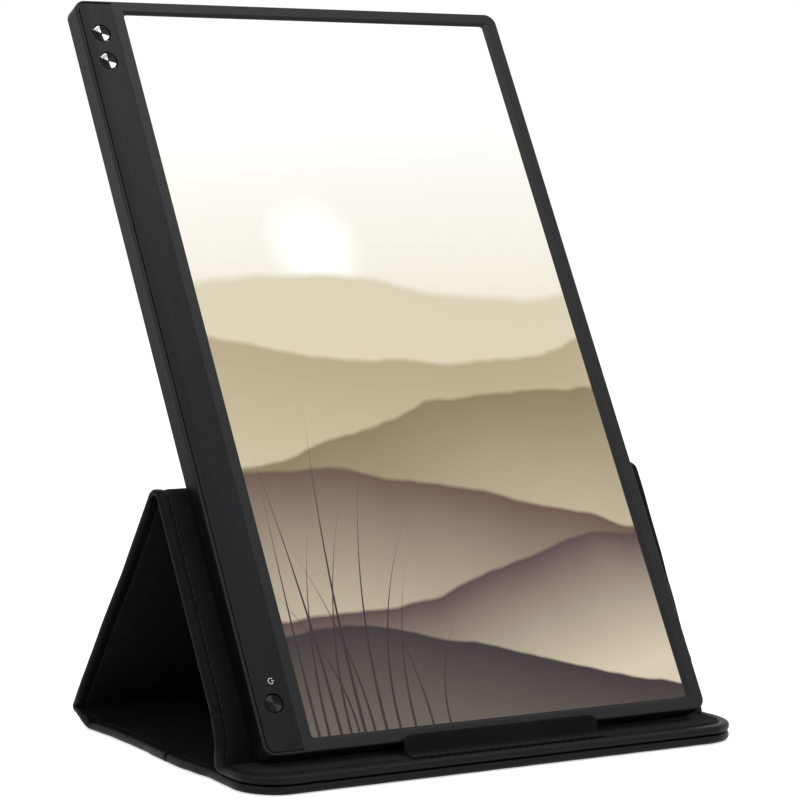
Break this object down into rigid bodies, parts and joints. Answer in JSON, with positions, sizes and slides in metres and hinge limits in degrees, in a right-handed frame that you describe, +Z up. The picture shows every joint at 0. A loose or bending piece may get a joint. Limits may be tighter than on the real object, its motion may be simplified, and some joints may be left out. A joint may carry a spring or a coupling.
{
  "type": "portable monitor with folding cover",
  "caption": "Slim flat monitor standing upright on the ledge of a soft folding cover, whose panels fold into a triangular stand.",
  "frame": {"origin": "middle of the base panel's underside, on the table", "axes": "+Z up, +X to the right as the screen is seen, +Y away from the viewer; the screen faces -Y and up"},
  "size_m": [0.25, 0.2061, 0.3189],
  "materials": {
    "cover_leather": "fine-grained, semi-matt",
    "cover_lining": "short-napped, matt",
    "flap_suede": "short-napped, matt",
    "stiffener_board": "plain grey board",
    "magnet": "nickel plated",
    "monitor_shell": "fine satin moulding texture",
    "chin_metal": "dark, brushed lengthwise",
    "screen": "satin antiglare picture surface",
    "backlight_film": "pearly white",
    "light_guide": "clear",
    "white_plastic": "plain",
    "tray_metal": "mill",
    "led_bar": "phosphor yellow on white",
    "circuit_board": "solder mask",
    "shield_steel": "tinned",
    "socket_steel": "plain",
    "flat_cable": "amber film",
    "screw_steel": "plain",
    "button_metal": "dark, turned in circles"
  },
  "bodies": {
    "ledge": {"ledge_skin": "cover_leather", "ledge_board": "stiffener_board", "ledge_lining": "cover_lining", "ledge_magnets": "magnet"},
    "flap": {"lip_flap": "flap_suede", "lip_core": "stiffener_board"},
    "riser": {"riser_skin": "cover_leather", "riser_board": "stiffener_board", "riser_lining": "cover_lining"},
    "backrest": {"backrest_skin": "cover_leather", "backrest_board": "stiffener_board", "backrest_lining": "cover_lining"},
    "leg": {"leg_skin": "cover_leather", "leg_board": "stiffener_board", "leg_lining": "cover_lining"},
    "spine": {"spine_skin": "cover_leather", "spine_board": "stiffener_board", "spine_lining": "cover_lining"},
    "base": {"base_skin": "cover_leather", "base_board": "stiffener_board", "base_lining": "cover_lining", "base_magnets": "magnet"},
    "monitor": {"rear_cover": "monitor_shell", "front_frame": "monitor_shell", "chin_plate": "chin_metal", "lcd_glass": "screen", "diffuser_films": "backlight_film", "light_guide": "light_guide", "panel_frame": "white_plastic", "backlight_tray": "tray_metal", "led_strip": "led_bar", "driver_board": "circuit_board", "main_board": "circuit_board", "shield_can": "shield_steel", "usb_socket": "socket_steel", "upper_button_board": "circuit_board", "lower_button_board": "circuit_board", "tact_switches": "shield_steel", "panel_cable": "flat_cable", "button_cable": "flat_cable", "board_screws": "screw_steel"},
    "menu_button": {"menu_button": "button_metal"},
    "input_button": {"input_button": "button_metal"},
    "power_button": {"power_button": "button_metal"}
  },
  "joints": [
    {"name": "riser_fold", "type": "hinge", "parent": "ledge", "child": "riser", "pos_m": [0, -0.0445, 0.0078], "axis": [-1, 0, 0], "range_deg": [0, 75]},
    {"name": "backrest_fold", "type": "hinge", "parent": "riser", "child": "backrest", "pos_m": [0, -0.03501, 0.02701], "axis": [1, 0, 0], "range_deg": [0, 16]},
    {"name": "apex_fold", "type": "hinge", "parent": "backrest", "child": "leg", "pos_m": [0, 0.01612, 0.10744], "axis": [1, 0, 0], "range_deg": [0, 116.35]},
    {"name": "heel_fold", "type": "hinge", "parent": "leg", "child": "spine", "pos_m": [0, 0.08204, 0.00902], "axis": [1, 0, 0], "range_deg": [0, 94.45]},
    {"name": "base_fold", "type": "hinge", "parent": "spine", "child": "base", "pos_m": [0, 0.07304, 0.0042], "axis": [1, 0, 0], "range_deg": [0, 28.2]},
    {"name": "flap_fold", "type": "hinge", "parent": "ledge", "child": "flap", "pos_m": [0, -0.0643, 0.0081], "axis": [1, 0, 0], "range_deg": [0, 100]},
    {"name": "monitor_lift", "type": "slide", "parent": "backrest", "child": "monitor", "axis": [0, 0.515, 0.8572], "range_m": [0, 0.15]},
    {"name": "menu_press", "type": "slide", "parent": "monitor", "child": "menu_button", "axis": [0, 0.8572, -0.515], "range_m": [0, 0.0005], "stiffness_N_per_m": 1500, "springref_m": -0.0003},
    {"name": "input_press", "type": "slide", "parent": "monitor", "child": "input_button", "axis": [0, 0.8572, -0.515], "range_m": [0, 0.0005], "stiffness_N_per_m": 1500, "springref_m": -0.0003},
    {"name": "power_press", "type": "slide", "parent": "monitor", "child": "power_button", "axis": [0, 0.8572, -0.515], "range_m": [0, 0.0005], "stiffness_N_per_m": 1500, "springref_m": -0.0003}
  ],
  "couplings": [
    {"joint": "riser_fold", "follows": "apex_fold", "ratio": 0.64462},
    {"joint": "backrest_fold", "follows": "apex_fold", "ratio": 0.13752},
    {"joint": "heel_fold", "follows": "apex_fold", "ratio": 0.81181},
    {"joint": "base_fold", "follows": "apex_fold", "ratio": 0.24238}
  ]
}
